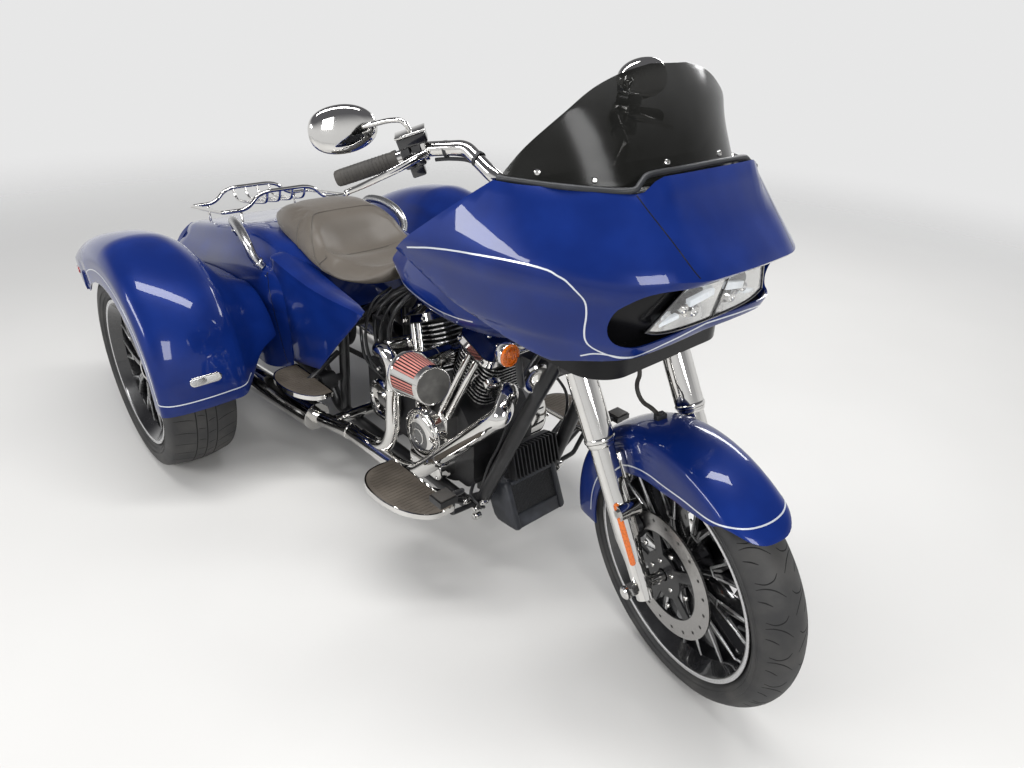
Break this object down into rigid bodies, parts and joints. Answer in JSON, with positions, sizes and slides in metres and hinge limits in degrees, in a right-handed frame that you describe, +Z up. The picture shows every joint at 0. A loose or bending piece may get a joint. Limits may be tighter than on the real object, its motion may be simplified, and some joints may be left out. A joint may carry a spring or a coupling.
{
  "type": "motorized trike",
  "caption": "Motorized trike with a fairing, windscreen, open twin engine, saddle, luggage rack and rear trunk between domed fenders.",
  "frame": {"origin": "on the floor under the middle of the whole vehicle", "axes": "+X forward, +Y to the rider's left, +Z up from the floor"},
  "size_m": [2.656, 1.4, 1.331],
  "materials": {
    "blue_paint": "deep gloss clear coat",
    "black_metal": "gloss black",
    "engine_black": "satin black with polished fin edges",
    "chrome": "polished",
    "disc_steel": "brushed",
    "tyre": "road tyre",
    "rubber": "matte",
    "leather": "taupe, stitched",
    "black_plastic": "fine grain",
    "clear_lens": "clear",
    "smoked_screen": "smoked",
    "red_lens": "gloss",
    "amber_lens": "gloss"
  },
  "bodies": {
    "chassis": {"frame": "black_metal", "rear_axle": "black_metal", "crankcase": "engine_black", "cylinders": "engine_black", "rocker_covers": "chrome", "cam_cover": "chrome", "primary_cover": "chrome", "drive_belt": "rubber", "air_intake": "black_metal", "exhaust_headers": "chrome", "silencers": "chrome", "regulator": "black_metal", "chin_shroud": "black_plastic", "fuel_tank": "blue_paint", "saddle": "leather", "trunk_body": "blue_paint", "fender_left": "blue_paint", "fender_right": "blue_paint", "fender_lamps": "red_lens", "side_covers": "blue_paint", "luggage_rack": "chrome", "grab_handles": "chrome", "fairing": "blue_paint", "headlamp_housing": "black_plastic", "headlamp_lenses": "clear_lens", "windscreen": "smoked_screen", "instrument_panel": "black_plastic", "fairing_skirt": "black_plastic", "turn_signals": "amber_lens", "footboards": "rubber", "foot_controls": "black_metal", "plate_bracket": "black_metal"},
    "steering": {"front_axle": "chrome", "fork_legs": "chrome", "fork_yokes": "black_metal", "front_fender": "blue_paint", "front_calipers": "black_metal", "handlebar": "chrome", "grips": "rubber", "hand_controls": "black_metal", "mirrors": "chrome", "brake_hose": "rubber"},
    "front_wheel": {"front_tyre": "tyre", "front_wheel": "black_metal", "front_discs": "disc_steel"},
    "rear_wheel_left": {"rear_tyre_left": "tyre", "rear_wheel_left": "black_metal"},
    "rear_wheel_right": {"rear_tyre_right": "tyre", "rear_wheel_right": "black_metal"},
    "trunk_door": {"trunk_door": "blue_paint"}
  },
  "joints": [
    {"name": "steering_turn", "type": "hinge", "parent": "chassis", "child": "steering", "pos_m": [0.9686, 0, 0.2962], "axis": [-0.4384, 0, 0.8988], "range_deg": [-19.7, 50.3]},
    {"name": "front_wheel_spin", "type": "hinge", "parent": "steering", "child": "front_wheel", "pos_m": [1.01191, -0.01318, 0.31732], "axis": [0.2372, 0.9646, 0.1157], "continuous": true},
    {"name": "rear_left_spin", "type": "hinge", "parent": "chassis", "child": "rear_wheel_left", "pos_m": [-0.6565, 0.57, 0.3255], "axis": [0, 1, 0], "continuous": true},
    {"name": "rear_right_spin", "type": "hinge", "parent": "chassis", "child": "rear_wheel_right", "pos_m": [-0.6565, -0.57, 0.3255], "axis": [0, 1, 0], "continuous": true},
    {"name": "trunk_door_drop", "type": "hinge", "parent": "chassis", "child": "trunk_door", "pos_m": [-1.2905, 0, 0.318], "axis": [0, -1, 0], "range_deg": [0, 90]}
  ]
}
